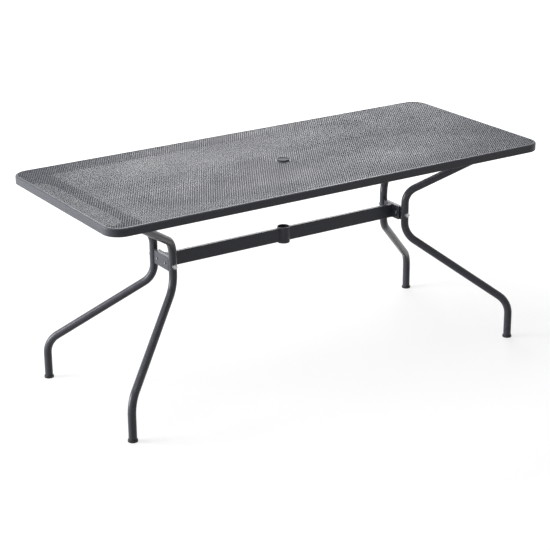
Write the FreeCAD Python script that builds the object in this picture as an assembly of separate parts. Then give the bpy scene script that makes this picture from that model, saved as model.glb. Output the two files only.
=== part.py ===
import FreeCAD, Part
import math
import os

# Umbrella table: a steel garden table with an expanded-metal top in a rounded
# tube rim, four bent tube legs joined in pairs at the waist, a stretcher
# between the pairs, and a sleeve that holds a parasol's pole.
#
# The origin is on the floor under the middle of the top.
# X runs along the table, Y across it, Z up. Sizes are in millimetres.

V = FreeCAD.Vector
UP = V(0, 0, 1)

# Tabletop
TOP_LENGTH = 1720
TOP_WIDTH = 730
TOP_HEIGHT = 745
CORNER_RADIUS = 58
RIM_HEIGHT = 28
RIM_WIDTH = 12
RIM_TOP_ROUND = 5
RIM_BOTTOM_ROUND = 2
RIM_WALL = 1.5
LEDGE_WIDTH = 3.5
LEDGE_DEPTH = 2.5
MESH_THICKNESS = 1.0
MESH_EDGE_GAP = 0.2
MESH_SAG = 10
SAG_MARGIN = 60
SAG_FLOOR_LENGTH = 900
SAG_FLOOR_WIDTH = 120
VENT_DIAMETER = 5
VENT_SPACING = 700

# Large diamonds that stand in the solid for the sheet's many small ones
DIAMONDS_ALONG = 12
DIAMONDS_ACROSS = 6
DIAMOND_SHARE = 0.72
DIAMOND_BORDER = 20
ISLAND_LENGTH = 96
ISLAND_WIDTH = 76

# Parasol hole, its ring and its plug
HOLE_DIAMETER = 40
RING_DIAMETER = 53
RING_THICKNESS = 1.2
CAP_DIAMETER = 43
CAP_THICKNESS = 3.2
CAP_WALL = 1.5
CAP_SKIRT_DEPTH = 14
CAP_GAP = 0.3
CAP_EDGE_ROUND = 0.8

# Legs: one bent tube each; seen from above, foot and arm head out from the waist at nearly one angle
TUBE_DIAMETER = 28
TUBE_WALL = 1.5
WAIST_X = 484
WAIST_Y = 65
FOOT_X = 785
FOOT_Y = 307
BEND_RADIUS = 82
WAIST_HIGH_BEND_RADIUS = 65
FOOT_BEND_HEIGHT = 136
WAIST_LOW_HEIGHT = 392
WAIST_HIGH_HEIGHT = 548
UPPER_ARM_ANGLE = 27.7
ARM_PLAN_ANGLE = 37.3
ARM_END_HEIGHT = 727
ARM_REACH = 425
FOOT_CAP_HEIGHT = 8.5
FOOT_CAP_DIAMETER = 34.5
FOOT_CAP_TOP_DIAMETER = 32.5
FOOT_CAP_ROUND = 1
FOOT_PLUG_HEIGHT = 24
FOOT_PLUG_WALL = 2
SOLE = 4

# Fixing of each leg under a corner of the top
SPIGOT_LENGTH = 36
SPIGOT_PLATE = 4
SPIGOT_GAP = 0.1
PLATE_GAP = 1
PLATE_HALF_BREADTH = 100
SCREW_SETBACK = 18

# Waist: cross members, saddles, stretcher and sleeve
WAIST_HEIGHT = 466
BAR_DEPTH = 15
CROSS_HEIGHT = 48
CROSS_END_Y = 46.5
SADDLE_DEPTH = 9
SADDLE_FLARE = 6
PLUG_LENGTH = 12
STRETCHER_HEIGHT = 49
BAR_WALL = 1.5
BAR_ROUND = 2.5
FLANGE_WIDTH = 90
FLANGE_HEIGHT = 50
FLANGE_THICKNESS = 4
FLANGE_ROUND = 4
FLANGE_BOLT_Y = 27
SLEEVE_DIAMETER = 45
SLEEVE_BORE = 41
SLEEVE_BOTTOM = 437
SLEEVE_TOP = 495
SLEEVE_CHAMFER = 0.4

# Fasteners: thread diameter, head across the flats, head height
LEG_BOLT = (8, 13, 5.3)
LEG_BOLT_LENGTH = 42
SADDLE_WASHER_DIAMETER = 17
SADDLE_WASHER_RIM = 1.5
FLANGE_BOLT = (6, 10, 4)
NUT_HEIGHT = 5
WASHER_DIAMETER = 12
WASHER_THICKNESS = 1.6
BOLT_TAIL = 3
SCREW_HEAD_DIAMETER = 10.5
SCREW_HEAD_HEIGHT = 3
SCREW_TIP_GAP = 1
THREAD_GAP = 0.05
HOLE_GAP = 0.25
FIT = 0.05

# How far a cutting body reaches past a face, and how close two lengths count as equal
OVER = 1
NEAR = 0.001

# Worked out from the sizes above
RIM_BOTTOM = TOP_HEIGHT - RIM_HEIGHT
LEDGE_TOP = TOP_HEIGHT - LEDGE_DEPTH
MESH_TOP = LEDGE_TOP + MESH_THICKNESS
SHEET_BOTTOM = LEDGE_TOP - MESH_SAG
RING_BOTTOM = SHEET_BOTTOM + MESH_THICKNESS
RING_TOP = RING_BOTTOM + RING_THICKNESS
TUBE_RADIUS = TUBE_DIAMETER / 2
FOOT_PLAN_ANGLE = math.degrees(math.atan2(FOOT_Y - WAIST_Y, FOOT_X - WAIST_X))
FOOT_REACH = math.hypot(FOOT_X - WAIST_X, FOOT_Y - WAIST_Y)
ARM_BEND_REACH = (ARM_END_HEIGHT - WAIST_HIGH_HEIGHT) / math.tan(math.radians(UPPER_ARM_ANGLE))
CROSS_INNER_X = WAIST_X - BAR_DEPTH / 2
CROSS_OUTER_X = WAIST_X + BAR_DEPTH / 2
FLANGE_INNER_X = CROSS_INNER_X - FLANGE_THICKNESS
BOLT_HOLE_RADIUS = FLANGE_BOLT[0] / 2 + HOLE_GAP
WAIST_HOLE_RADIUS = LEG_BOLT[0] / 2 + HOLE_GAP
SIDES = {"left": -1, "right": 1}
FACES = {"front": -1, "rear": 1}


def save(shape, node):
    """Write one sub-part to its own file."""
    shape.exportStep("parts/" + node + ".step")
    print(node, "solids", len(shape.Solids), "valid", shape.isValid(), "cm3", round(shape.Volume / 1000, 1))


def corners():
    """Each leg's name and the signs of its corner in X and Y."""
    for face, sy in FACES.items():
        for side, sx in SIDES.items():
            yield face + "_" + side, sx, sy


def place(shape, sx, sy):
    """Mirror a shape made for the +X +Y corner into the corner with these signs."""
    if sx < 0:
        shape = shape.mirror(V(0, 0, 0), V(1, 0, 0))
    if sy < 0:
        shape = shape.mirror(V(0, 0, 0), V(0, 1, 0))
    return shape


def rounded_slab(length, width, radius, bottom, top):
    """A plate centred on the origin in plan, with rounded upright corners."""
    slab = Part.makeBox(length, width, top - bottom, V(-length / 2, -width / 2, bottom))
    upright = [e for e in slab.Edges if abs(e.BoundBox.ZLength - (top - bottom)) < NEAR]
    return slab.makeFillet(radius, upright)


def inset_slab(inset, bottom, top):
    """The tabletop's outline drawn in by an inset, as a plate."""
    return rounded_slab(TOP_LENGTH - 2 * inset, TOP_WIDTH - 2 * inset, CORNER_RADIUS - inset, bottom, top)


def edges_at(shape, height):
    """The edges that lie flat at one height."""
    return [e for e in shape.Edges if e.BoundBox.ZLength < NEAR and abs(e.BoundBox.ZMin - height) < NEAR]


def rim_vents():
    """Drain holes through the rim's underside, on the long and the short sides."""
    radius = VENT_DIAMETER / 2
    depth = RIM_WALL + 2 * OVER
    start = RIM_BOTTOM - OVER
    middle_y = (TOP_WIDTH - RIM_WIDTH) / 2
    middle_x = (TOP_LENGTH - RIM_WIDTH) / 2
    for sign in (-1, 1):
        for x in (-VENT_SPACING / 2, VENT_SPACING / 2):
            yield Part.makeCylinder(radius, depth, V(x, sign * middle_y, start), UP)
        yield Part.makeCylinder(radius, depth, V(sign * middle_x, 0, start), UP)


def tabletop_rim():
    """A hollow section bent round the top, with a ledge inside its upper edge for the mesh."""
    body = inset_slab(0, RIM_BOTTOM, TOP_HEIGHT)
    body = body.makeFillet(RIM_TOP_ROUND, edges_at(body, TOP_HEIGHT))
    body = body.makeFillet(RIM_BOTTOM_ROUND, edges_at(body, RIM_BOTTOM))
    body = body.cut(inset_slab(RIM_WIDTH, RIM_BOTTOM - OVER, TOP_HEIGHT + OVER))
    body = body.cut(inset_slab(RIM_WIDTH - LEDGE_WIDTH, LEDGE_TOP, TOP_HEIGHT + OVER))
    bottom = RIM_BOTTOM + RIM_WALL
    top = LEDGE_TOP - RIM_WALL
    hollow = inset_slab(RIM_WALL, bottom, top)
    hollow = hollow.cut(inset_slab(RIM_WIDTH - RIM_WALL, bottom - OVER, top + OVER))
    body = body.cut(hollow)
    for vent in rim_vents():
        body = body.cut(vent)
    return body


def level_rectangle(length, width, height):
    """A rectangle at one height, centred on the middle of the top."""
    x, y = length / 2, width / 2
    points = [V(x, y, height), V(-x, y, height), V(-x, -y, height), V(x, -y, height)]
    return Part.makePolygon(points + points[:1])


def sag_block(top):
    """The shallow trough that the sheet's sag makes below one height, with a level floor."""
    mouth = level_rectangle(TOP_LENGTH - 2 * SAG_MARGIN, TOP_WIDTH - 2 * SAG_MARGIN, top)
    floor = level_rectangle(SAG_FLOOR_LENGTH, SAG_FLOOR_WIDTH, top - MESH_SAG)
    return Part.makeLoft([mouth, floor], True, True)


def through_box(length, width):
    """A box of this size in plan round the table's middle, right through the sheet and its sag."""
    bottom = SHEET_BOTTOM - OVER
    return Part.makeBox(length, width, MESH_TOP + OVER - bottom, V(-length / 2, -width / 2, bottom))


def through_diamond(x, y, half_length, half_width):
    """A diamond-shaped block right through the sheet and its sag."""
    bottom = SHEET_BOTTOM - OVER
    points = [V(x + half_length, y, bottom), V(x, y + half_width, bottom),
              V(x - half_length, y, bottom), V(x, y - half_width, bottom)]
    outline = Part.makePolygon(points + points[:1])
    return Part.Face(outline).extrude(UP * (MESH_TOP + OVER - bottom))


def diamonds():
    """Staggered diamonds over the sheet, cut off along its border and round the parasol ring."""
    length = TOP_LENGTH - 2 * DIAMOND_BORDER
    width = TOP_WIDTH - 2 * DIAMOND_BORDER
    half_pitch_x = length / DIAMONDS_ALONG / 2
    half_pitch_y = width / DIAMONDS_ACROSS / 2
    blocks = []
    for column in range(-DIAMONDS_ALONG, DIAMONDS_ALONG + 1):
        for row in range(-DIAMONDS_ACROSS, DIAMONDS_ACROSS + 1):
            if (column + row) % 2:
                blocks.append(through_diamond(column * half_pitch_x, row * half_pitch_y,
                                              half_pitch_x * DIAMOND_SHARE, half_pitch_y * DIAMOND_SHARE))
    field = Part.Compound(blocks).common(through_box(length, width))
    return field.cut(through_box(ISLAND_LENGTH, ISLAND_WIDTH))


def tabletop_mesh():
    """The expanded-metal sheet: it lies on the rim's ledge and sags a little towards its middle."""
    sheet = inset_slab(RIM_WIDTH - LEDGE_WIDTH + MESH_EDGE_GAP, LEDGE_TOP, MESH_TOP)
    sheet = sheet.fuse(sag_block(LEDGE_TOP)).cut(sag_block(MESH_TOP))
    hole = Part.makeCylinder(HOLE_DIAMETER / 2, MESH_THICKNESS + 2 * OVER, V(0, 0, SHEET_BOTTOM - OVER), UP)
    return sheet.cut(hole).cut(diamonds())


def parasol_ring():
    """A flat ring that stiffens the mesh round the parasol hole."""
    ring = Part.makeCylinder(RING_DIAMETER / 2, RING_THICKNESS, V(0, 0, RING_BOTTOM), UP)
    start = V(0, 0, RING_BOTTOM - OVER)
    return ring.cut(Part.makeCylinder(HOLE_DIAMETER / 2, RING_THICKNESS + 2 * OVER, start, UP))


def parasol_cap():
    """A moulded plug: a disc on the ring and a skirt down the hole."""
    disc = Part.makeCylinder(CAP_DIAMETER / 2, CAP_THICKNESS, V(0, 0, RING_TOP), UP)
    disc = disc.makeFillet(CAP_EDGE_ROUND, edges_at(disc, RING_TOP + CAP_THICKNESS))
    skirt_radius = HOLE_DIAMETER / 2 - CAP_GAP
    skirt = Part.makeCylinder(skirt_radius, CAP_SKIRT_DEPTH, V(0, 0, RING_TOP - CAP_SKIRT_DEPTH), UP)
    hollow_depth = CAP_SKIRT_DEPTH + CAP_THICKNESS - CAP_WALL
    hollow = Part.makeCylinder(skirt_radius - CAP_WALL, hollow_depth, V(0, 0, RING_TOP - CAP_SKIRT_DEPTH), UP)
    return disc.fuse(skirt).cut(hollow).removeSplitter()


def heading(angle):
    """The level direction at an angle from the table's length."""
    return V(math.cos(math.radians(angle)), math.sin(math.radians(angle)), 0)


def waist_point(height):
    """A point on the rear right leg's waist."""
    return V(WAIST_X, WAIST_Y, height)


def foot_point(reach, height):
    """A point of the lower leg, measured outwards from the waist."""
    return waist_point(height) + heading(FOOT_PLAN_ANGLE) * reach


def arm_point(reach, height):
    """A point of the arm under the top, measured outwards from the waist."""
    return waist_point(height) + heading(ARM_PLAN_ANGLE) * reach


def bent_path(points, radii):
    """Straight runs through the points, with every corner rounded by a tangent arc."""
    edges = []
    start = points[0]
    for before, corner, after, radius in zip(points, points[1:], points[2:], radii):
        towards = (before - corner).normalize()
        onwards = (after - corner).normalize()
        half_turn = (math.pi - towards.getAngle(onwards)) / 2
        setback = radius * math.tan(half_turn)
        middle = (towards + onwards).normalize()
        entry = corner + towards * setback
        leave = corner + onwards * setback
        apex = corner + middle * (radius / math.cos(half_turn) - radius)
        edges.append(Part.LineSegment(start, entry).toShape())
        edges.append(Part.Arc(entry, apex, leave).toShape())
        start = leave
    edges.append(Part.LineSegment(start, points[-1]).toShape())
    return Part.Wire(edges)


def leg_path():
    """The centre line of the rear right leg, from the floor end to the end under the top."""
    points = [
        foot_point(FOOT_REACH, SOLE),
        foot_point(FOOT_REACH, FOOT_BEND_HEIGHT),
        waist_point(WAIST_LOW_HEIGHT),
        waist_point(WAIST_HIGH_HEIGHT),
        arm_point(ARM_BEND_REACH, ARM_END_HEIGHT),
        arm_point(ARM_REACH, ARM_END_HEIGHT),
    ]
    return bent_path(points, [BEND_RADIUS, BEND_RADIUS, WAIST_HIGH_BEND_RADIUS, BEND_RADIUS])


def sweep(path, radius):
    """A solid rod of one radius along a path that starts upwards."""
    circle = Part.Wire([Part.makeCircle(radius, path.Vertexes[0].Point, UP)])
    return path.makePipeShell([circle], True, False)


def along_y(radius, y_low, y_high, x, z):
    """A round bar parallel to Y."""
    return Part.makeCylinder(radius, y_high - y_low, V(x, y_low, z), V(0, 1, 0))


def along_x(radius, x_low, x_high, y, z):
    """A round bar parallel to X."""
    return Part.makeCylinder(radius, x_high - x_low, V(x_low, y, z), V(1, 0, 0))


def screw_point():
    """Where the corner screw crosses the centre line of the leg's upper end."""
    return arm_point(ARM_REACH - SCREW_SETBACK, ARM_END_HEIGHT)


def leg_tube():
    """The rear right leg: a bent tube, drilled for its waist bolt and its corner screw."""
    path = leg_path()
    tube = sweep(path, TUBE_RADIUS).cut(sweep(path, TUBE_RADIUS - TUBE_WALL))
    near, far = WAIST_Y - TUBE_DIAMETER, WAIST_Y + TUBE_DIAMETER
    bolt_hole = along_y(WAIST_HOLE_RADIUS, near, far, WAIST_X, WAIST_HEIGHT)
    screw_hole = Part.makeCylinder(BOLT_HOLE_RADIUS, TUBE_RADIUS, screw_point(), -UP)
    return tube.cut(bolt_hole).cut(screw_hole)


def foot_cap():
    """A moulded foot: a flat-soled disc with a recess for the tube's end and a plug up its bore."""
    foot = V(FOOT_X, FOOT_Y, 0)
    disc = Part.makeCone(FOOT_CAP_DIAMETER / 2, FOOT_CAP_TOP_DIAMETER / 2, FOOT_CAP_HEIGHT, foot, UP)
    disc = disc.makeFillet(FOOT_CAP_ROUND, edges_at(disc, FOOT_CAP_HEIGHT) + edges_at(disc, 0))
    seat = V(FOOT_X, FOOT_Y, SOLE)
    disc = disc.cut(Part.makeCylinder(TUBE_RADIUS + FIT, FOOT_CAP_HEIGHT, seat, UP))
    plug_radius = TUBE_RADIUS - TUBE_WALL - FIT
    plug = Part.makeCylinder(plug_radius, FOOT_PLUG_HEIGHT - SOLE, seat, UP)
    plug = plug.cut(Part.makeCylinder(plug_radius - FOOT_PLUG_WALL, FOOT_PLUG_HEIGHT, seat, UP))
    return disc.fuse(plug).removeSplitter()


def corner_plate():
    """The plate that closes off the rim's rear right corner inside, square to the arm."""
    bottom = RIM_BOTTOM + RIM_BOTTOM_ROUND
    top = LEDGE_TOP - PLATE_GAP
    breadth = 2 * PLATE_HALF_BREADTH
    plate = Part.makeBox(SPIGOT_PLATE, breadth, top - bottom, V(ARM_REACH + SPIGOT_GAP, -breadth / 2, bottom))
    plate.rotate(V(0, 0, 0), UP, ARM_PLAN_ANGLE)
    plate.translate(waist_point(0))
    return plate.common(inset_slab(RIM_WIDTH, bottom, LEDGE_TOP))


def corner_spigot():
    """A stub that the leg slides over, on a plate welded across the rim's rear right corner."""
    start = arm_point(ARM_REACH - SPIGOT_LENGTH, ARM_END_HEIGHT)
    radius = TUBE_RADIUS - TUBE_WALL - SPIGOT_GAP
    stub = Part.makeCylinder(radius, SPIGOT_LENGTH + SPIGOT_GAP, start, heading(ARM_PLAN_ANGLE))
    stub = stub.cut(Part.makeCylinder(FLANGE_BOLT[0] / 2, TUBE_RADIUS, screw_point(), -UP))
    return stub.fuse(corner_plate()).removeSplitter()


def corner_screw():
    """A button-head screw from below, through the leg's wall into the spigot."""
    point = screw_point()
    under = ARM_END_HEIGHT - TUBE_RADIUS
    radius = FLANGE_BOLT[0] / 2 - THREAD_GAP
    shank = Part.makeCylinder(radius, TUBE_RADIUS - SCREW_TIP_GAP, V(point.x, point.y, under), UP)
    low = V(point.x, point.y, under - SCREW_HEAD_HEIGHT)
    head = Part.makeCylinder(SCREW_HEAD_DIAMETER / 2, SCREW_HEAD_HEIGHT, low, UP)
    head = head.makeFillet(SCREW_HEAD_HEIGHT / 2, edges_at(head, under - SCREW_HEAD_HEIGHT))
    return shank.fuse(head).removeSplitter()


def rounded_bar(x_low, x_high, y_low, y_high, z_low, z_high, radius, axis):
    """A bar with its long edges rounded; axis 0 runs along X and 1 along Y."""
    bar = Part.makeBox(x_high - x_low, y_high - y_low, z_high - z_low, V(x_low, y_low, z_low))
    spans = ("XLength", "YLength")[axis]
    length = getattr(bar.BoundBox, spans)
    long_edges = [e for e in bar.Edges if abs(getattr(e.BoundBox, spans) - length) < NEAR]
    return bar.makeFillet(radius, long_edges)


def leg_core():
    """The room that the rear right leg's tube takes at the waist."""
    height = WAIST_HIGH_HEIGHT - WAIST_LOW_HEIGHT
    return Part.makeCylinder(TUBE_RADIUS + FIT, height, waist_point(WAIST_LOW_HEIGHT), UP)


def saddle_outline():
    """The rear saddle's outline seen along X: as high as the bar where they meet, flared at the tube."""
    half = CROSS_HEIGHT / 2
    tall = half + SADDLE_FLARE
    neck = CROSS_END_Y
    mouth = CROSS_END_Y + SADDLE_FLARE
    turn = SADDLE_FLARE * (1 - math.sqrt(0.5))
    edges = [Part.LineSegment(V(0, neck, -half), V(0, neck, half)).toShape(),
             Part.LineSegment(V(0, WAIST_Y, -tall), V(0, WAIST_Y, tall)).toShape()]
    for sz in (-1, 1):
        middle = V(0, mouth - turn, (half + turn) * sz)
        edges.append(Part.Arc(V(0, neck, half * sz), middle, V(0, mouth, tall * sz)).toShape())
        edges.append(Part.LineSegment(V(0, mouth, tall * sz), V(0, WAIST_Y, tall * sz)).toShape())
    return Part.Wire(Part.__sortEdges__(edges))


def waist_saddle():
    """The rear right saddle: a block between the cross member's end and the leg, hollowed to hug it."""
    cheek = Part.Face(saddle_outline())
    cheek.translate(V(WAIST_X - SADDLE_DEPTH / 2, 0, WAIST_HEIGHT))
    block = cheek.extrude(V(SADDLE_DEPTH, 0, 0)).cut(leg_core())
    block = block.cut(along_y(WAIST_HOLE_RADIUS, CROSS_END_Y - OVER, WAIST_Y, WAIST_X, WAIST_HEIGHT))
    return max(block.Solids, key=lambda solid: solid.Volume)


def waist_plug():
    """A threaded block inside the rear end of the right cross member, for the leg's bolt."""
    half = CROSS_HEIGHT / 2 - BAR_WALL
    inner = CROSS_END_Y - PLUG_LENGTH
    block = Part.makeBox(BAR_DEPTH - 2 * BAR_WALL, PLUG_LENGTH, 2 * half,
                         V(CROSS_INNER_X + BAR_WALL, inner, WAIST_HEIGHT - half))
    return block.cut(along_y(LEG_BOLT[0] / 2, inner - OVER, CROSS_END_Y + OVER, WAIST_X, WAIST_HEIGHT))


def cross_member():
    """The right cross member: a flat tube between the two saddles."""
    half = CROSS_HEIGHT / 2
    bar = rounded_bar(CROSS_INNER_X, CROSS_OUTER_X, -CROSS_END_Y, CROSS_END_Y,
                      WAIST_HEIGHT - half, WAIST_HEIGHT + half, BAR_ROUND, 1)
    hollow = Part.makeBox(BAR_DEPTH - 2 * BAR_WALL, 2 * CROSS_END_Y, CROSS_HEIGHT - 2 * BAR_WALL,
                          V(CROSS_INNER_X + BAR_WALL, -CROSS_END_Y, WAIST_HEIGHT - half + BAR_WALL))
    bar = bar.cut(hollow)
    low, high = CROSS_INNER_X - OVER, CROSS_OUTER_X + OVER
    for sy in (-1, 1):
        bar = bar.cut(along_x(BOLT_HOLE_RADIUS, low, high, sy * FLANGE_BOLT_Y, WAIST_HEIGHT))
    return bar


def hexagon(across, height, base, direction):
    """A hexagonal head or nut whose outer corners are rounded off."""
    corner = across / math.sqrt(3)
    turns = [math.radians(60 * i) for i in range(7)]
    points = [V(corner * math.cos(turn), corner * math.sin(turn), 0) for turn in turns]
    prism = Part.Face(Part.makePolygon(points)).extrude(V(0, 0, height))
    cone_height = corner + height - across / 2
    dome = Part.makeCone(cone_height + across / 2, across / 2, cone_height, V(0, 0, height - cone_height))
    prism = prism.common(dome)
    prism.Placement = FreeCAD.Placement(base, FreeCAD.Rotation(UP, direction))
    return prism


def leg_bolt():
    """The rear right leg's waist bolt, with its head on the outer side."""
    thread, across, height = LEG_BOLT
    seat = WAIST_Y + TUBE_RADIUS + SADDLE_WASHER_RIM
    shank = along_y(thread / 2 - THREAD_GAP, seat - LEG_BOLT_LENGTH, seat, WAIST_X, WAIST_HEIGHT)
    head = hexagon(across, height, V(WAIST_X, seat, WAIST_HEIGHT), V(0, 1, 0))
    return shank.fuse(head).removeSplitter()


def saddle_washer():
    """A washer hollowed to the tube's curve under the waist bolt's head."""
    seat = WAIST_Y + TUBE_RADIUS + SADDLE_WASHER_RIM
    washer = along_y(SADDLE_WASHER_DIAMETER / 2, WAIST_Y, seat, WAIST_X, WAIST_HEIGHT)
    washer = washer.cut(leg_core())
    return washer.cut(along_y(WAIST_HOLE_RADIUS, WAIST_Y, seat + OVER, WAIST_X, WAIST_HEIGHT))


def stretcher_half():
    """The right half of the stretcher: a flat tube from the sleeve to the flange."""
    half = STRETCHER_HEIGHT / 2
    side = BAR_DEPTH / 2
    bar = rounded_bar(0, FLANGE_INNER_X, -side, side, WAIST_HEIGHT - half, WAIST_HEIGHT + half, BAR_ROUND, 0)
    hollow = Part.makeBox(FLANGE_INNER_X, 2 * (side - BAR_WALL), 2 * (half - BAR_WALL),
                          V(0, -side + BAR_WALL, WAIST_HEIGHT - half + BAR_WALL))
    sleeve = Part.makeCylinder(SLEEVE_DIAMETER / 2, SLEEVE_TOP - SLEEVE_BOTTOM, V(0, 0, SLEEVE_BOTTOM), UP)
    return bar.cut(hollow).cut(sleeve)


def stretcher_flange():
    """The plate on the stretcher's right end, bolted to the cross member."""
    plate = Part.makeBox(FLANGE_THICKNESS, FLANGE_WIDTH, FLANGE_HEIGHT,
                         V(FLANGE_INNER_X, -FLANGE_WIDTH / 2, WAIST_HEIGHT - FLANGE_HEIGHT / 2))
    corner_edges = [e for e in plate.Edges if abs(e.BoundBox.XLength - FLANGE_THICKNESS) < NEAR]
    plate = plate.makeFillet(FLANGE_ROUND, corner_edges)
    low, high = FLANGE_INNER_X - OVER, CROSS_INNER_X + OVER
    for sy in (-1, 1):
        plate = plate.cut(along_x(BOLT_HOLE_RADIUS, low, high, sy * FLANGE_BOLT_Y, WAIST_HEIGHT))
    return plate


def pole_sleeve():
    """The sleeve in the middle of the stretcher that steadies the parasol's pole."""
    height = SLEEVE_TOP - SLEEVE_BOTTOM
    outer = Part.makeCylinder(SLEEVE_DIAMETER / 2, height, V(0, 0, SLEEVE_BOTTOM), UP)
    inner = Part.makeCylinder(SLEEVE_BORE / 2, height + 2 * OVER, V(0, 0, SLEEVE_BOTTOM - OVER), UP)
    sleeve = outer.cut(inner)
    return sleeve.makeChamfer(SLEEVE_CHAMFER, edges_at(sleeve, SLEEVE_TOP) + edges_at(sleeve, SLEEVE_BOTTOM))


def flange_bolt(y):
    """One bolt through the flange and the right cross member, with its head on the inner side."""
    thread, across, height = FLANGE_BOLT
    seat = FLANGE_INNER_X - WASHER_THICKNESS
    shank = along_x(thread / 2 - THREAD_GAP, seat, CROSS_OUTER_X + BOLT_TAIL, y, WAIST_HEIGHT)
    head = hexagon(across, height, V(seat, y, WAIST_HEIGHT), V(-1, 0, 0))
    return shank.fuse(head).removeSplitter()


def weld_nut(y):
    """The nut inside the right cross member's outer wall."""
    seat = CROSS_OUTER_X - BAR_WALL
    nut = hexagon(FLANGE_BOLT[1], NUT_HEIGHT, V(seat, y, WAIST_HEIGHT), V(-1, 0, 0))
    return nut.cut(along_x(FLANGE_BOLT[0] / 2, seat - NUT_HEIGHT - OVER, seat + OVER, y, WAIST_HEIGHT))


def flange_washer(y):
    """The plain washer under the bolt's head."""
    low = FLANGE_INNER_X - WASHER_THICKNESS
    washer = along_x(WASHER_DIAMETER / 2, low, FLANGE_INNER_X, y, WAIST_HEIGHT)
    return washer.cut(along_x(BOLT_HOLE_RADIUS, low - OVER, FLANGE_INNER_X + OVER, y, WAIST_HEIGHT))


def at_corners(shape):
    """The same piece at all four corners, as one group of separate solids."""
    return Part.Compound([place(shape, sx, sy) for name, sx, sy in corners()])


def at_ends(make):
    """A pair of pieces at each end of the stretcher, as one group of separate solids."""
    pieces = [place(make(sy * FLANGE_BOLT_Y), sx, 1) for sx in (-1, 1) for sy in (-1, 1)]
    return Part.Compound(pieces)


def build():
    os.makedirs("parts", exist_ok=True)
    save(tabletop_rim(), "tabletop_rim")
    save(tabletop_mesh(), "tabletop_mesh")
    save(parasol_ring(), "parasol_ring")
    save(parasol_cap(), "parasol_cap")
    pieces = {"leg": leg_tube(), "foot_cap": foot_cap(), "corner_spigot": corner_spigot(),
              "waist_saddle": waist_saddle()}
    for name, sx, sy in corners():
        for kind, shape in pieces.items():
            save(place(shape, sx, sy), kind + "_" + name)
    for side, sx in SIDES.items():
        save(place(cross_member(), sx, 1), "cross_member_" + side)
        save(place(stretcher_flange(), sx, 1), "stretcher_flange_" + side)
        save(place(stretcher_half(), sx, 1), "stretcher_" + side)
    save(pole_sleeve(), "pole_sleeve")
    save(at_corners(waist_plug()), "waist_plugs")
    save(at_corners(leg_bolt()), "leg_bolts")
    save(at_corners(saddle_washer()), "saddle_washers")
    save(at_corners(corner_screw()), "corner_screws")
    save(at_ends(flange_bolt), "flange_bolts")
    save(at_ends(weld_nut), "weld_nuts")
    save(at_ends(flange_washer), "flange_washers")


build()
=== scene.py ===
# %% [markdown]
# # A long garden table with an expanded-metal top
#
# The table is steel: a bent rim, a sheet of expanded metal, four bent legs
# and a stretcher, all powder coated in charcoal grey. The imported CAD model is
# the fixed frame. It has the tubes, the rim, the bolts and the plastic caps at
# their real size, so this file only adds what a solid model leaves plain: the
# thousands of diamond openings, the plug's lip, the weld beads and the finish
# of each surface.

import math

import bpy
import numpy as np
from mathutils import Matrix, Vector


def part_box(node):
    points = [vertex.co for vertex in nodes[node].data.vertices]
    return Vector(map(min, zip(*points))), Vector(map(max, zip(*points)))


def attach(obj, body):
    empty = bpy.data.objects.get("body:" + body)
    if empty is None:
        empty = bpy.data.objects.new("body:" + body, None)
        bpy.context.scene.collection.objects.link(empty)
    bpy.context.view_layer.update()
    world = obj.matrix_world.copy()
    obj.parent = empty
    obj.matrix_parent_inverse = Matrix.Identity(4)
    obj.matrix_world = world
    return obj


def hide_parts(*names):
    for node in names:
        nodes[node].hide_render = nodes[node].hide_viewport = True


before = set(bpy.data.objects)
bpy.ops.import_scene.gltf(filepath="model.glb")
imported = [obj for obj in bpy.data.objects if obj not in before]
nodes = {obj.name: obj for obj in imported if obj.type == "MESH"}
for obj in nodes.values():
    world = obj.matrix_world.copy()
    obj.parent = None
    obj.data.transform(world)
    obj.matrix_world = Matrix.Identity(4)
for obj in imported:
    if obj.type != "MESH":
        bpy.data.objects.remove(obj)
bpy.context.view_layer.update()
MM = 0.001

# %% [markdown]
# ## The camera
#
# The photograph is taken from the table's front left, from above standing
# height and with a long lens, so the table's edges stay nearly parallel. The
# camera is built from a place and three angles. A lens is a focal length
# against a sensor width, and the ratio of the two is the same as the focal
# length in pixels against the image's width in pixels.

# %% Camera
IMAGE_PIXELS = 550
FOCAL_PIXELS = 1660.4
SENSOR_MM = 36
SIGHT_LIMIT = 100
CAMERA_PLACE = Vector((-3.0212, -4.6039, 2.3704))
YAW = math.radians(32.954)
PITCH = math.radians(20.498)
ROLL = math.radians(-0.403)


def camera_axes(yaw, pitch, roll):
    """Right, up and forward: yaw turns from +Y towards +X, pitch tips down, roll is about forward."""
    forward = Vector((
        math.sin(yaw) * math.cos(pitch),
        math.cos(yaw) * math.cos(pitch),
        -math.sin(pitch),
    ))
    level = Vector((math.cos(yaw), -math.sin(yaw), 0))
    upright = level.cross(forward)
    right = level * math.cos(roll) + upright * math.sin(roll)
    return right, upright * math.cos(roll) - level * math.sin(roll), forward


right, up, forward = camera_axes(YAW, PITCH, ROLL)
camera_data = bpy.data.cameras.new("photo_camera")
camera_data.sensor_width = SENSOR_MM
camera_data.lens = FOCAL_PIXELS * SENSOR_MM / IMAGE_PIXELS
camera_data.clip_end = SIGHT_LIMIT
camera = bpy.data.objects.new("photo_camera", camera_data)
camera.matrix_world = Matrix((right, up, -forward)).transposed().to_4x4()
camera.location = CAMERA_PLACE
bpy.context.scene.collection.objects.link(camera)
bpy.context.scene.camera = camera
print("lens", round(camera_data.lens, 1), "mm")

# %% [markdown]
# ## Making a material from nodes
#
# A material is a small graph. The first helper adds one node, sets its sockets
# and links others in, so that a whole finish reads as a few lines. A value that
# is the same all over a surface is set on the shader's own socket. The Mix node
# keeps one set of sockets for each kind of value, so its two colours are
# sockets 6 and 7 and the mixed colour is output 2.

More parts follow.
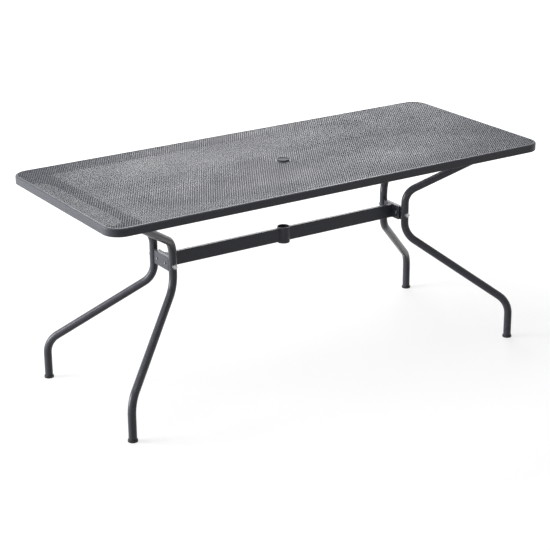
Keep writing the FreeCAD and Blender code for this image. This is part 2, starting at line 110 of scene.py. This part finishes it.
# %% Node helpers
def add_node(tree, kind, settings=None, **sockets):
    """A node with its settings; a socket goes by its name, or by its number as in _0.

    A socket's value is a plain one, or another node's output, which is linked in.
    """
    node = tree.nodes.new(kind)
    for key, value in (settings or {}).items():
        setattr(node, key, value)
    for name, value in sockets.items():
        key = int(name[1:]) if name[1:].isdigit() else name.replace("_", " ")
        if isinstance(value, bpy.types.NodeSocket):
            tree.links.new(value, node.inputs[key])
        else:
            node.inputs[key].default_value = value
    return node


def new_material(name):
    """An empty node material with its output node and Object coordinates."""
    material = bpy.data.materials.new(name)
    material.use_nodes = True
    tree = material.node_tree
    tree.nodes.clear()
    output = tree.nodes.new("ShaderNodeOutputMaterial")
    place = tree.nodes.new("ShaderNodeTexCoord").outputs["Object"]
    return material, tree, output, place


def noise(tree, place, blobs_per_metre, detail=2.0):
    """Smooth noise from 0 to 1; each step of detail adds blobs of half the size."""
    node = add_node(tree, "ShaderNodeTexNoise", Vector=place, Scale=blobs_per_metre, Detail=detail)
    return node.outputs["Fac"]


def spread(tree, value, low, high, start=0.3, end=0.7):
    """Stretch the range start to end onto the range low to high; noise mostly fills 0.3 to 0.7."""
    sockets = {"Value": value, "From_Min": start, "From_Max": end, "To_Min": low, "To_Max": high}
    return add_node(tree, "ShaderNodeMapRange", **sockets).outputs["Result"]


COLOUR_RESULT = 2


def blend_colours(tree, share, first, second):
    """The first colour where share is 0 and the second where it is 1."""
    node = add_node(tree, "ShaderNodeMix", {"data_type": "RGBA"}, _0=share, _6=first, _7=second)
    return node.outputs[COLOUR_RESULT]


def opaque(colour, share=1.0):
    """The colour times the share, with the fourth number that Blender wants."""
    return tuple(share * part for part in colour) + (1,)


# %% [markdown]
# ## The charcoal powder coat
#
# Powder coat is paint that is sprayed on dry and baked. Up close its skin is
# a fine orange peel with a little sand in it, and it shines softly. Four sizes
# of noise make it: grains of a third of a millimetre and a peel of about two
# millimetres in the bump, paler specks of a few millimetres, and hand-sized
# clouds that change the tone by up to a tenth and the sheen a little.
#
# Along a sharp edge the coat is painted a little paler, as a painted highlight
# where a rounded edge would catch the light. A Bevel node finds such places: it
# gives the surface direction as if the edge were rounded, and that differs from
# the true one only near edges. Only the bars get these painted edge highlights,
# because the tubes are round and the sheet's strands are too thin to show them.
# The tubes are the glossiest of the three and the sheet the dullest.

# %% Powder coat
CHARCOAL = (0.072, 0.075, 0.091)
# Pale charcoal for the paler specks, and for the painted highlight along sharp edges.
SPECK_AND_HIGHLIGHT_CHARCOAL = (0.2, 0.206, 0.222)
COAT_IOR = 1.35
CLOUDS_PER_METRE = 7.0
SPECKS_PER_METRE = 260.0
PEEL_PER_METRE = 450.0
GRAINS_PER_METRE = 3000.0
PEEL_DEPTH = 0.12 * MM
GRAIN_DEPTH = 0.05 * MM
TONE_DRIFT = 0.1
GLOSS_DRIFT = (-0.05, 0.06)
SPECK_SHARE = 0.25
SPECK_RANGE = (0.5, 0.8)
EDGE_RADIUS = 1.2 * MM
EDGE_HIGHLIGHT_SHARE = 0.6
EDGE_MATCH = (0.8, 0.99)
BEVEL_SAMPLES = 4


def edge_mask(tree):
    """0 on flat or gently curved surface, rising to 1 within the radius of a sharp edge."""
    rounded = add_node(tree, "ShaderNodeBevel", {"samples": BEVEL_SAMPLES}, Radius=EDGE_RADIUS)
    true = tree.nodes.new("ShaderNodeNewGeometry")
    match = add_node(tree, "ShaderNodeVectorMath", {"operation": "DOT_PRODUCT"},
                     _0=rounded.outputs["Normal"], _1=true.outputs["Normal"])
    return spread(tree, match.outputs["Value"], 1.0, 0.0, *EDGE_MATCH)


def powder_coat(name, roughness, with_edge_highlights):
    """Satin paint: clouds set tone and sheen, specks pale it, a painted highlight pales its edges, peel
    and grains bump it.
    """
    material, tree, output, place = new_material(name)
    clouds = noise(tree, place, CLOUDS_PER_METRE, detail=3.0)
    specks = noise(tree, place, SPECKS_PER_METRE)
    darker, lighter = opaque(CHARCOAL, 1 - TONE_DRIFT), opaque(CHARCOAL, 1 + TONE_DRIFT)
    tone = blend_colours(tree, spread(tree, clouds, 0.0, 1.0), darker, lighter)
    paling = spread(tree, specks, 0.0, SPECK_SHARE, *SPECK_RANGE)
    tone = blend_colours(tree, paling, tone, opaque(SPECK_AND_HIGHLIGHT_CHARCOAL))
    # Painted highlight: sharp edges are blended towards the paler charcoal.
    if with_edge_highlights:
        paling = spread(tree, edge_mask(tree), 0.0, EDGE_HIGHLIGHT_SHARE, 0.0, 1.0)
        tone = blend_colours(tree, paling, tone, opaque(SPECK_AND_HIGHLIGHT_CHARCOAL))
    peel = noise(tree, place, PEEL_PER_METRE)
    grains = noise(tree, place, GRAINS_PER_METRE, detail=1.0)
    low = add_node(tree, "ShaderNodeBump", Strength=0.35, Distance=PEEL_DEPTH, Height=peel)
    fine = add_node(tree, "ShaderNodeBump", Strength=0.3, Distance=GRAIN_DEPTH, Height=grains,
                    Normal=low.outputs["Normal"])
    sheen = spread(tree, clouds, roughness + GLOSS_DRIFT[0], roughness + GLOSS_DRIFT[1])
    shader = add_node(tree, "ShaderNodeBsdfPrincipled", Base_Color=tone, Roughness=sheen, IOR=COAT_IOR,
                      Normal=fine.outputs["Normal"])
    tree.links.new(shader.outputs["BSDF"], output.inputs["Surface"])
    return material


tube_coat = powder_coat("powder_coat_tube", roughness=0.27, with_edge_highlights=False)
bar_coat = powder_coat("powder_coat_bar", roughness=0.4, with_edge_highlights=True)
mesh_coat = powder_coat("powder_coat_mesh", roughness=0.48, with_edge_highlights=False)
print("powder coats:", tube_coat.name, bar_coat.name, mesh_coat.name)

# %% [markdown]
# ## Zinc
#
# The bolts are steel with a thin coat of bright zinc, which has a faint blue
# and yellow bloom where the bath has left it. One noise drives both the colour
# and the roughness, because a patch with more bloom also shines less.

# %% Zinc
BLUISH_ZINC = (0.36, 0.38, 0.42)
YELLOWISH_ZINC = (0.44, 0.43, 0.39)
ZINC_ROUGHNESS = (0.14, 0.26)
BLOOM_PER_METRE = 160.0
MARKS_PER_METRE = 1800.0
MARK_DEPTH = 0.04 * MM


def bright_zinc(name):
    """Metal whose colour drifts between a bluish and a yellowish white, with fine marks."""
    material, tree, output, place = new_material(name)
    bloom = noise(tree, place, BLOOM_PER_METRE)
    share = spread(tree, bloom, 0.0, 1.0)
    tone = blend_colours(tree, share, opaque(BLUISH_ZINC), opaque(YELLOWISH_ZINC))
    marks = noise(tree, place, MARKS_PER_METRE, detail=3.0)
    bump = add_node(tree, "ShaderNodeBump", Strength=0.25, Distance=MARK_DEPTH, Height=marks)
    sheen = spread(tree, bloom, *ZINC_ROUGHNESS)
    shader = add_node(tree, "ShaderNodeBsdfPrincipled", Base_Color=tone, Metallic=1.0, Roughness=sheen,
                      Normal=bump.outputs["Normal"])
    tree.links.new(shader.outputs["BSDF"], output.inputs["Surface"])
    return material


zinc = bright_zinc("bright_zinc")
print("zinc:", zinc.name)

# %% [markdown]
# ## Plastic
#
# The feet are black plastic with the fine even grain of a moulding tool, and
# faint paler scuffs. The plug of the parasol hole is a dark grey one of the
# same kind, a little more matt.

# %% Plastic
BLACK_PLASTIC = (0.014, 0.014, 0.015)
SCUFFED_BLACK = (0.05, 0.05, 0.05)
GREY_PLASTIC = (0.05, 0.052, 0.057)
SCUFFED_GREY = (0.09, 0.09, 0.095)
PLASTIC_IOR = 1.45
SCUFF_SHARE = 0.4
SCUFF_RANGE = (0.45, 0.75)
SHEEN_DRIFT = 0.06
SCUFFS_PER_METRE = 90.0
TOOL_GRAIN_PER_METRE = 1400.0
TOOL_GRAIN_DEPTH = 0.08 * MM


def moulded_plastic(name, colour, scuffed, roughness):
    """Matt plastic with a tool's grain and faint scuffs."""
    material, tree, output, place = new_material(name)
    scuffs = noise(tree, place, SCUFFS_PER_METRE, detail=4.0)
    paling = spread(tree, scuffs, 0.0, SCUFF_SHARE, *SCUFF_RANGE)
    tone = blend_colours(tree, paling, opaque(colour), opaque(scuffed))
    grain = noise(tree, place, TOOL_GRAIN_PER_METRE, detail=1.0)
    bump = add_node(tree, "ShaderNodeBump", Strength=0.3, Distance=TOOL_GRAIN_DEPTH, Height=grain)
    sheen = spread(tree, scuffs, roughness - SHEEN_DRIFT, roughness + SHEEN_DRIFT)
    shader = add_node(tree, "ShaderNodeBsdfPrincipled", Base_Color=tone, IOR=PLASTIC_IOR,
                      Roughness=sheen, Normal=bump.outputs["Normal"])
    tree.links.new(shader.outputs["BSDF"], output.inputs["Surface"])
    return material


foot_plastic = moulded_plastic("foot_plastic", BLACK_PLASTIC, SCUFFED_BLACK, roughness=0.55)
plug_plastic = moulded_plastic("plug_plastic", GREY_PLASTIC, SCUFFED_GREY, roughness=0.68)
print("plastics:", foot_plastic.name, plug_plastic.name)

# %% [markdown]
# ## Dressing the CAD nodes
#
# Every CAD node keeps its mesh and only gets a finish in its material slots.
# The start of a node's name says what kind of piece it is, and the longest
# start that fits wins, so leg_bolts are zinc although a leg is coated.

# %% Dress the CAD nodes
FINISHES = {
    "leg_bolts": zinc, "saddle_washers": zinc, "flange_bolts": zinc, "flange_washers": zinc,
    "weld_nuts": zinc, "waist_plugs": zinc, "corner_screws": zinc,
    "foot_cap": foot_plastic, "parasol_cap": plug_plastic,
    "leg": tube_coat, "pole_sleeve": tube_coat,
    "parasol_ring": mesh_coat, "tabletop_mesh": mesh_coat,
    "tabletop_rim": bar_coat, "corner_spigot": bar_coat, "waist_saddle": bar_coat,
    "cross_member": bar_coat, "stretcher": bar_coat,
}


def finish_of(node_name):
    """The finish of the longest name in the list that the node's name starts with."""
    return FINISHES[max((key for key in FINISHES if node_name.startswith(key)), key=len)]


for name, item in nodes.items():
    item.data.materials.clear()
    item.data.materials.append(finish_of(name))
print("dressed", len(nodes), "nodes")

# %% [markdown]
# ## From arrays to a mesh
#
# The new pieces are worked out as whole numpy arrays. Points is a table of
# coordinates, and each polygon table holds corners of polygons with the same
# number of sides. foreach_set hands them to Blender in one go, which is far
# quicker than adding a quarter of a million points one at a time.

# %% Mesh builder
def build_piece(name, points, polygon_tables, material, smooth=False):
    """A mesh object at the origin from a table of points and tables of polygon corners."""
    corners = np.concatenate([table.ravel() for table in polygon_tables]).astype(np.int32)
    sizes = np.concatenate([np.full(len(table), table.shape[1]) for table in polygon_tables])
    mesh = bpy.data.meshes.new(name)
    mesh.vertices.add(len(points))
    mesh.vertices.foreach_set("co", points.astype(np.float32).ravel())
    mesh.loops.add(len(corners))
    mesh.loops.foreach_set("vertex_index", corners)
    mesh.polygons.add(len(sizes))
    mesh.polygons.foreach_set("loop_start", (np.cumsum(sizes) - sizes).astype(np.int32))
    mesh.update(calc_edges=True)
    mesh.polygons.foreach_set("use_smooth", np.full(len(sizes), smooth))
    mesh.materials.append(material)
    piece = bpy.data.objects.new(name, mesh)
    bpy.context.scene.collection.objects.link(piece)
    return piece


# %% [markdown]
# ## The expanded-metal sheet
#
# Expanded metal starts as a plain sheet. A press slits it in staggered rows
# and pulls it open, so each slit becomes a diamond and no metal is lost. The
# strands twist a little as they open: the side of each opening towards -X
# stands up and the side towards +X hangs down. Four strands meet in a small
# flat bond.
#
# The photograph doesn't resolve single strands, so their width and thickness
# are guessed from how much of the floor shows through. To a low eye each strand
# is a small wall, and a thicker sheet lets less through.
#
# A photograph of a real sheet as a picture on a plane would look painted on,
# and a modifier that cuts holes would be slow. It is quicker to write down one
# opening as six points and to repeat it on a staggered grid. Neighbours share
# their points, so strands and bonds are just polygons between them.

# %% Sizes of the sheet
OPENING_PITCH = np.array([8.6, 14.5]) * MM
BOND_HALF_WIDTH = 1.35 * MM
BOND_HALF_LENGTH = 0.6 * MM
POINT_SETBACK = 2.45 * MM
STRAND_TWIST = 0.2 * MM
STRAND_THICKNESS = 1.55 * MM
CORNER_RADIUS = 49.3 * MM
RING_COVER = 26.4 * MM  # from the hole's axis to the sheet's inner edge, under the ring
LEDGE_DEPTH = 2.5 * MM  # from the rim's top down to the ledge that carries the sheet

_, rim_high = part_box("tabletop_rim")
sheet_low, sheet_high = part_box("tabletop_mesh")
SHEET_HALF = np.array([sheet_high.x, sheet_high.y])
print("sheet", np.round(2 * SHEET_HALF, 3).tolist(), "m, openings every", OPENING_PITCH.tolist(), "m")

# %% Openings on a staggered grid
SPARE_CELLS = 3
LOW_REAR, END_REAR, HIGH_REAR, HIGH_FRONT, END_FRONT, LOW_FRONT = range(6)


def opening_grid():
    """Centres of the openings, and a grid that gives each place its opening's number, or -1.

    Columns and rows are half pitches. Only places where column plus row is even hold an opening,
    which staggers the rows.
    """
    reach = np.ceil(2 * SHEET_HALF / OPENING_PITCH).astype(int) + SPARE_CELLS
    steps = [np.arange(-most, most + 1) for most in reach]
    columns, rows = np.meshgrid(*steps, indexing="ij")
    used = (columns + rows) % 2 == 0
    index = np.full(columns.shape, -1)
    index[used] = np.arange(used.sum())
    return np.stack([columns[used], rows[used]], 1) * OPENING_PITCH / 2, index


def opening_outline():
    """Six points round one opening, LOW_REAR to LOW_FRONT: two on each side and the two ends."""
    side = OPENING_PITCH[0] / 2 - BOND_HALF_WIDTH
    end = OPENING_PITCH[1] / 2 - POINT_SETBACK
    return np.array([
        [side, BOND_HALF_LENGTH, -STRAND_TWIST],
        [0, end, 0],
        [-side, BOND_HALF_LENGTH, STRAND_TWIST],
        [-side, -BOND_HALF_LENGTH, STRAND_TWIST],
        [0, -end, 0],
        [side, -BOND_HALF_LENGTH, -STRAND_TWIST],
    ])


centres, index = opening_grid()
outline = opening_outline()
level_centres = np.pad(centres, ((0, 0), (0, 1)))
lattice = (level_centres[:, None, :] + outline[None, :, :]).reshape(-1, 3)
print("openings on the grid:", len(centres))

# %% [markdown]
# Each polygon is named by the opening on its left and the corners it borrows
# from the openings around it: across (two columns on), upper (one column and
# one row on) and lower (one column on, one row back). Slices of the index grid
# give all of them at once.

# %% Bonds and strands
def polygons(*corners):
    """A row for each polygon; each corner is a list of openings and which corner they lend."""
    return np.stack([openings * len(outline) + corner for openings, corner in corners], 1)


def bonds_and_strands():
    """Six-sided bonds and four-sided strands as tables of lattice points, anticlockwise from above."""
    left, across = index[:-2, 1:-1], index[2:, 1:-1]
    upper, lower = index[1:-1, 2:], index[1:-1, :-2]
    used = (left >= 0) & (across >= 0) & (upper >= 0) & (lower >= 0)
    left, across, upper, lower = (grid[used] for grid in (left, across, upper, lower))
    bonds = polygons(
        (left, LOW_FRONT), (lower, END_REAR), (across, HIGH_FRONT),
        (across, HIGH_REAR), (upper, END_FRONT), (left, LOW_REAR),
    )
    leaning_back = polygons(
        (left, LOW_REAR), (upper, END_FRONT), (upper, HIGH_FRONT), (left, END_REAR),
    )
    leaning_on = polygons(
        (upper, END_FRONT), (across, HIGH_REAR), (across, END_REAR), (upper, LOW_FRONT),
    )
    return bonds, np.concatenate([leaning_back, leaning_on])


bonds, strands = bonds_and_strands()
print("bonds", len(bonds), "strands", len(strands))

# %% [markdown]
# The real sheet is cut to the rim's shape and welded on its ledge, and the
# parasol hole is punched through it under the ring. Here every point beyond
# the outline is moved back onto it, and a polygon that loses its area that way
# is dropped, which leaves cut strands along the edge as shears would.

# %% Trim to the rim and to the parasol hole
TINY = 1e-9
MIN_AREA = 0.12 * MM * MM


def inside_rim(points):
    """Points pulled onto a rounded rectangle: clamped to its sides, or to its corner arcs."""
    core = SHEET_HALF - CORNER_RADIUS
    beyond = np.abs(points) - core
    distance = np.hypot(*np.maximum(beyond, TINY).T)
    in_corner = (beyond > 0).all(1)
    shrink = np.where(in_corner & (distance > CORNER_RADIUS), CORNER_RADIUS / distance, 1.0)
    on_arc = core + beyond * shrink[:, None]
    on_side = np.minimum(np.abs(points), SHEET_HALF)
    return np.sign(points) * np.where(in_corner[:, None], on_arc, on_side)


def outside_ring(points):
    """Points nearer the parasol hole than the ring's cover, pushed out to it."""
    distance = np.maximum(np.hypot(*points.T), TINY)
    return points * np.maximum(1.0, RING_COVER / distance)[:, None]


def plan_area(points, polygon_table):
    """Signed area in plan: half the sum of cross products of neighbouring corners."""
    x, y = points[polygon_table, 0], points[polygon_table, 1]
    return 0.5 * (x * np.roll(y, -1, 1) - y * np.roll(x, -1, 1)).sum(1)


trimmed = lattice.copy()
trimmed[:, :2] = outside_ring(inside_rim(lattice[:, :2]))
bonds = bonds[plan_area(trimmed, bonds) > MIN_AREA]
strands = strands[plan_area(trimmed, strands) > MIN_AREA]
print("after trimming: bonds", len(bonds), "strands", len(strands))

# %% [markdown]
# The sheet isn't quite flat. The ledge holds it all round, and over the whole
# middle it hangs about a centimetre lower, in a shallow tray that loads and the
# pull of the welds leave. The depth is a smooth step along the length times one
# across the width, so it starts at nothing beside the rim and runs out level in
# the middle, with no crease on the way.

# %% The shallow dish
LEDGE_TOP = rim_high.z - LEDGE_DEPTH
SAG_DEPTH = LEDGE_TOP - sheet_low.z
SAG_START = SHEET_HALF - 51.3 * MM
SAG_FLOOR = np.array([450, 60]) * MM


def sag(points):
    """Depth below the ledge: two smooth steps multiplied, 0 near the rim and 1 on the level floor."""
    share = np.clip((SAG_START - np.abs(points)) / (SAG_START - SAG_FLOOR), 0, 1)
    return SAG_DEPTH * (share * share * (3 - 2 * share)).prod(1)


trimmed[:, 2] += LEDGE_TOP + STRAND_TWIST + STRAND_THICKNESS - sag(trimmed[:, :2])
print("dish", round(SAG_DEPTH / MM, 1), "mm deep")

# %% [markdown]
# A sheet has two faces and an edge. The lower face is the upper one moved down
# and turned over, and a wall stands wherever a polygon's side has no
# neighbour: round every opening and along the cut edge. The sheet is built as
# four closed pieces side by side, so no mesh grows too large. The outer two
# bands reach far past the sheet's ends, so no polygon is left out.

# %% Closed pieces of sheet
SHEET_PIECES = 4
PAST_THE_ENDS = 1.0


def open_sides(polygon_tables):
    """Directed sides of the polygons that no neighbour runs along the other way."""
    runs = [np.stack([table, np.roll(table, -1, 1)], 2).reshape(-1, 2) for table in polygon_tables]
    sides = np.concatenate(runs)
    span = sides.max() + 1
    keys = sides[:, 0].astype(np.int64) * span + sides[:, 1]
    mates = sides[:, 1].astype(np.int64) * span + sides[:, 0]
    return sides[~np.isin(keys, mates)]


def thick_sheet(points, polygon_tables):
    """The upper polygons, the same turned over one thickness below, and walls along every open side."""
    rims = open_sides(polygon_tables)
    count = len(points)
    lower = [table[:, ::-1] + count for table in polygon_tables]
    walls = np.stack([rims[:, 1], rims[:, 0], rims[:, 0] + count, rims[:, 1] + count], 1)
    both = np.concatenate([points, points - [0, 0, STRAND_THICKNESS]])
    tables = list(polygon_tables) + lower + [walls]
    used, renamed = np.unique(np.concatenate([table.ravel() for table in tables]), return_inverse=True)
    parts = np.split(renamed, np.cumsum([table.size for table in tables])[:-1])
    return both[used], [part.reshape(table.shape) for part, table in zip(parts, tables)]


bands = np.linspace(-SHEET_HALF[0], SHEET_HALF[0], SHEET_PIECES + 1)
bands[0], bands[-1] = -PAST_THE_ENDS, PAST_THE_ENDS
for number in range(SHEET_PIECES):
    chosen = []
    for table in (bonds, strands):
        middle = trimmed[table, 0].mean(1)
        chosen.append(table[(middle >= bands[number]) & (middle < bands[number + 1])])
    points, tables = thick_sheet(trimmed, chosen)
    sheet = build_piece(f"expanded_sheet_{number + 1}", points, tables, mesh_coat)
    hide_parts("tabletop_mesh")
    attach(sheet, "table")
    triangles = sum(len(table) * (table.shape[1] - 2) for table in tables)
    print(sheet.name, "triangles", triangles, "top", round(points[:, 2].max(), 5))

# %% [markdown]
# ## The plug's lip
#
# The plug of the parasol hole is pressed in by hand and pulled out by its
# edge, so a lip stands round its disc and leaves a shallow dish in the middle.
# From the side the dish shows as two dark lines, the far inner wall and the
# near outer one. A lip is a small profile turned round the hole's axis. The
# profile is an arch: a half circle whose sine is raised to a power below one,
# which steepens its walls and flattens its top. Its two feet are sunk into the
# disc, so no gap shows.

# %% A profile turned round the table's middle
def closed_grid(rows, sides):
    """Quads of a grid that closes on itself both ways; each goes first to the next row."""
    row, side = np.meshgrid(np.arange(rows), np.arange(sides), indexing="ij")
    next_row, next_side = (row + 1) % rows, (side + 1) % sides
    corners = ((row, side), (next_row, side), (next_row, next_side), (row, next_side))
    return np.stack([r * sides + s for r, s in corners], -1).reshape(-1, 4)


def turned(profile, count):
    """A closed ring: the profile's (radius, height) points at evenly spaced angles about Z."""
    turn = np.linspace(0, 2 * np.pi, count, endpoint=False)[:, None]
    radius, height = profile[:, 0][None, :], profile[:, 1][None, :]
    axes = np.broadcast_arrays(radius * np.cos(turn), radius * np.sin(turn), height)
    return np.stack(axes, -1).reshape(-1, 3), closed_grid(count, len(profile))


# %% Lip
LIP_HEIGHT = 1.8 * MM
LIP_WIDTH = 3.0 * MM
LIP_SUNK = 0.2 * MM
LIP_POWER = 0.45
PROFILE_POINTS = 17
LIP_STEPS = 96

_, cap_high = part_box("parasol_cap")
angle = np.linspace(0, np.pi, PROFILE_POINTS)
arch_out = np.cos(angle) * LIP_WIDTH / 2
arch_up = np.sin(angle) ** LIP_POWER * LIP_HEIGHT
arch_up[[0, -1]] = -LIP_SUNK
profile = np.stack([cap_high.x - LIP_WIDTH / 2 + arch_out, cap_high.z + arch_up], 1)
points, quads = turned(profile, LIP_STEPS)
lip = build_piece("plug_lip", points, [quads], plug_plastic, smooth=True)
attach(lip, "cap")
print("plug lip", len(quads), "faces, top at", round(points[:, 2].max(), 4))

# %% [markdown]
# ## Weld beads
#
# The stretcher's halves are welded to the sleeve and to their end plates. A
# bead is a small half-buried tube that follows the joint, with a ripple where
# the welder paused. Its path is a superellipse as large as the flat tube's
# section, which is a rectangle with softly rounded corners, and at the sleeve
# each point is moved along X until it lies on the sleeve's round wall.

# %% The path and the bead
SQUARENESS = 9.0


def section_loop(half_width, half_height, count):
    """Evenly spaced points of a superellipse: cosine and sine to the power of 2 over its squareness."""
    turn = np.linspace(0, 2 * np.pi, count, endpoint=False)
    power = 2.0 / SQUARENESS
    y = half_width * np.sign(np.cos(turn)) * np.abs(np.cos(turn)) ** power
    z = half_height * np.sign(np.sin(turn)) * np.abs(np.sin(turn)) ** power
    loop = np.stack([y, z], 1)
    steps = np.hypot(*(np.roll(loop, -1, 0) - loop).T)
    along = np.concatenate([[0], np.cumsum(steps)])
    even = np.linspace(0, along[-1], count, endpoint=False)
    closed = np.concatenate([loop, loop[:1]])
    return np.stack([np.interp(even, along, closed[:, 0]), np.interp(even, along, closed[:, 1])], 1)


def bead_along(path, radius, ripple, waves, sides):
    """A closed tube round a closed path; its radius swells by the ripple, waves times round."""
    ahead = np.roll(path, -1, 0) - np.roll(path, 1, 0)
    ahead /= np.linalg.norm(ahead, axis=1)[:, None]
    out = path - path.mean(0)
    out -= (out * ahead).sum(1)[:, None] * ahead
    out /= np.linalg.norm(out, axis=1)[:, None]
    beside = np.cross(ahead, out)
    turn = np.linspace(0, 2 * np.pi, sides, endpoint=False)[None, :, None]
    wave = np.sin(np.linspace(0, 2 * np.pi * waves, len(path), endpoint=False))
    swell = radius * (1 + ripple * wave)
    ring = out[:, None] * np.cos(turn) + beside[:, None] * np.sin(turn)
    points = (path[:, None] + ring * swell[:, None, None]).reshape(-1, 3)
    facing_out = closed_grid(len(path), sides)[:, [0, 3, 2, 1]]
    return points, facing_out


# %% Beads round the stretcher's ends
BEAD_RADIUS = 1.6 * MM
BEAD_STEPS = 160
BEAD_SIDES = 8
BEAD_RIPPLE = 0.12
BEAD_WAVES = 34

bar_low, bar_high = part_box("stretcher_right")
_, sleeve_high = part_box("pole_sleeve")
bar_middle = (bar_low.z + bar_high.z) / 2
loop = section_loop(bar_high.y, (bar_high.z - bar_low.z) / 2, BEAD_STEPS)
ends = {
    "sleeve": np.sqrt(sleeve_high.x ** 2 - loop[:, 0] ** 2),
    "plate": np.full(len(loop), bar_high.x),
}
for side, sign in (("left", -1), ("right", 1)):
    for end, x in ends.items():
        path = np.stack([sign * x, loop[:, 0], loop[:, 1] + bar_middle], 1)
        points, quads = bead_along(path, BEAD_RADIUS, BEAD_RIPPLE, BEAD_WAVES, BEAD_SIDES)
        bead = build_piece(f"weld_bead_{end}_{side}", points, [quads], tube_coat, smooth=True)
        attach(bead, "table")
        print(bead.name, len(quads), "faces")

# %% [markdown]
# ## The floor
#
# The table stands on a plain pale floor. A Light Path node tells which kind of
# ray asks for its colour. Straight and mirrored rays see a pale paint that the
# lamps light and that keeps the shadow, plus a glow of its own. The glow grows
# to full white over a stretch beyond the table, so the floor runs into the
# white room without a horizon. All other rays carry light back to the table.
# They see a darker paint without the glow, because the undersides in the
# photograph are dark, so little light came back from its floor.

# %% Floor
FLOOR_HALF = 30.0
SHOWN_PAINT = (0.4, 0.4, 0.4)
BOUNCE_PAINT = (0.25, 0.25, 0.25)
WHITE = (1, 1, 1)
NEAR_GLOW, FAR_GLOW = 0.7, 1.0
NEAR_REACH, FAR_REACH = 1.2, 2.6


def seen_directly(tree):
    """1 for rays that show the background: straight, mirrored or through glass."""
    light_path = tree.nodes.new("ShaderNodeLightPath").outputs
    either = add_node(tree, "ShaderNodeMath", {"operation": "MAXIMUM"},
                      _0=light_path["Is Camera Ray"], _1=light_path["Is Transmission Ray"])
    return add_node(tree, "ShaderNodeMath", {"operation": "MAXIMUM"},
                    _0=either.outputs[0], _1=light_path["Is Glossy Ray"]).outputs[0]


floor_paint, tree, output, place = new_material("pale_floor")
distance = add_node(tree, "ShaderNodeVectorMath", {"operation": "LENGTH"}, _0=place).outputs["Value"]
glow = spread(tree, distance, NEAR_GLOW, FAR_GLOW, NEAR_REACH, FAR_REACH)
glowing = add_node(tree, "ShaderNodeEmission", Color=opaque(WHITE), Strength=glow).outputs[0]
lit = add_node(tree, "ShaderNodeBsdfDiffuse", Color=opaque(SHOWN_PAINT)).outputs[0]
shown = add_node(tree, "ShaderNodeAddShader", _0=lit, _1=glowing).outputs[0]
bouncing = add_node(tree, "ShaderNodeBsdfDiffuse", Color=opaque(BOUNCE_PAINT)).outputs[0]
choice = add_node(tree, "ShaderNodeMixShader", _0=seen_directly(tree), _1=bouncing, _2=shown)
tree.links.new(choice.outputs[0], output.inputs["Surface"])

floor_corners = FLOOR_HALF * np.array([[-1, -1, 0], [1, -1, 0], [1, 1, 0], [-1, 1, 0]])
floor = build_piece("floor", floor_corners, [np.array([[0, 1, 2, 3]])], floor_paint)
print("floor", 2 * FLOOR_HALF, "m wide")

# %% [markdown]
# ## The room
#
# The same choice of rays makes the world white behind the table, while it
# lights the table only softly, from all sides alike.

# %% World
AMBIENT, BACKDROP = 0.06, 1.0

world = bpy.data.worlds.new("white_room")
bpy.context.scene.world = world
world.use_nodes = True
tree = world.node_tree
tree.nodes.clear()
strength = spread(tree, seen_directly(tree), AMBIENT, BACKDROP, 0.0, 1.0)
background = add_node(tree, "ShaderNodeBackground", Color=opaque(WHITE), Strength=strength)
world_output = tree.nodes.new("ShaderNodeOutputWorld")
tree.links.new(background.outputs[0], world_output.inputs["Surface"])
print("ambient light", AMBIENT)

# %% [markdown]
# ## The lamps
#
# Three large soft lamps light the table much as in the photograph. One hangs
# overhead, one stands at the left towards the back, and one behind on the far
# right. The top, the tops of the tubes and the left ends are bright, and the
# long front sides stay dark.

# %% Soft lamps
def soft_lamp(name, place, target, size, power):
    """A square area lamp at a place, turned towards a target."""
    data = bpy.data.lights.new(name, "AREA")
    data.shape = "SQUARE"
    data.size = size
    data.energy = power
    lamp = bpy.data.objects.new(name, data)
    aim = (Vector(target) - Vector(place)).to_track_quat("-Z", "Y")
    lamp.matrix_world = Matrix.Translation(place) @ aim.to_matrix().to_4x4()
    bpy.context.scene.collection.objects.link(lamp)
    print(name, power, "W")


soft_lamp("lamp_overhead", place=(-0.6, 0.5, 4.2), target=(0, 0, 0.5), size=3.0, power=110)
soft_lamp("lamp_left", place=(-4.3, 2.1, 1.5), target=(0, 0, 0.6), size=2.4, power=260)
soft_lamp("lamp_behind", place=(2.4, 3.9, 2.3), target=(0, 0, 0.7), size=2.6, power=110)

# %% [markdown]
# ## The view transform
#
# The picture is shown with Blender's Standard view transform.

bpy.context.scene.view_settings.view_transform = "Standard"
